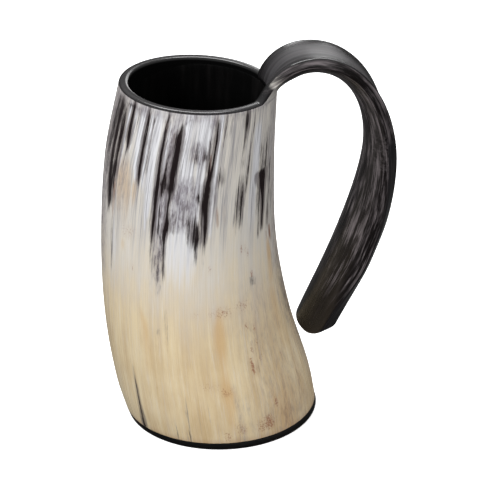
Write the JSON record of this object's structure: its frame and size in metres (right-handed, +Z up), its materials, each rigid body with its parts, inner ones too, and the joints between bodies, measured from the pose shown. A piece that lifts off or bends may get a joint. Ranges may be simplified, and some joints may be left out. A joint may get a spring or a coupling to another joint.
{
  "type": "horn drinking cup",
  "caption": "Leaning drinking cup of natural horn with a black base disc and a black lined inside, and a handle made of a strip that bends over from the rim and runs down to the foot.",
  "frame": {"origin": "centre of the foot's underside, where the cup rests on a table", "axes": "+Z up, +X from the foot's centre towards the handle, +Y across the cup"},
  "size_m": [0.1028, 0.0652, 0.1412],
  "materials": {
    "pale_horn": "polished natural horn, cream below and white above, with dark brown fibre streaks under the rim",
    "dark_horn": "polished dark horn with fine grey streaks along it, plain black on the hollow face and the edges",
    "black_disc": "black satin lacquer",
    "resin": "set dark resin",
    "black_lacquer": "gloss black lacquer"
  },
  "bodies": {
    "root": {"horn_body": "pale_horn", "handle": "dark_horn", "base_disc": "black_disc", "base_glue": "resin", "inner_lining": "black_lacquer"}
  },
  "joints": []
}
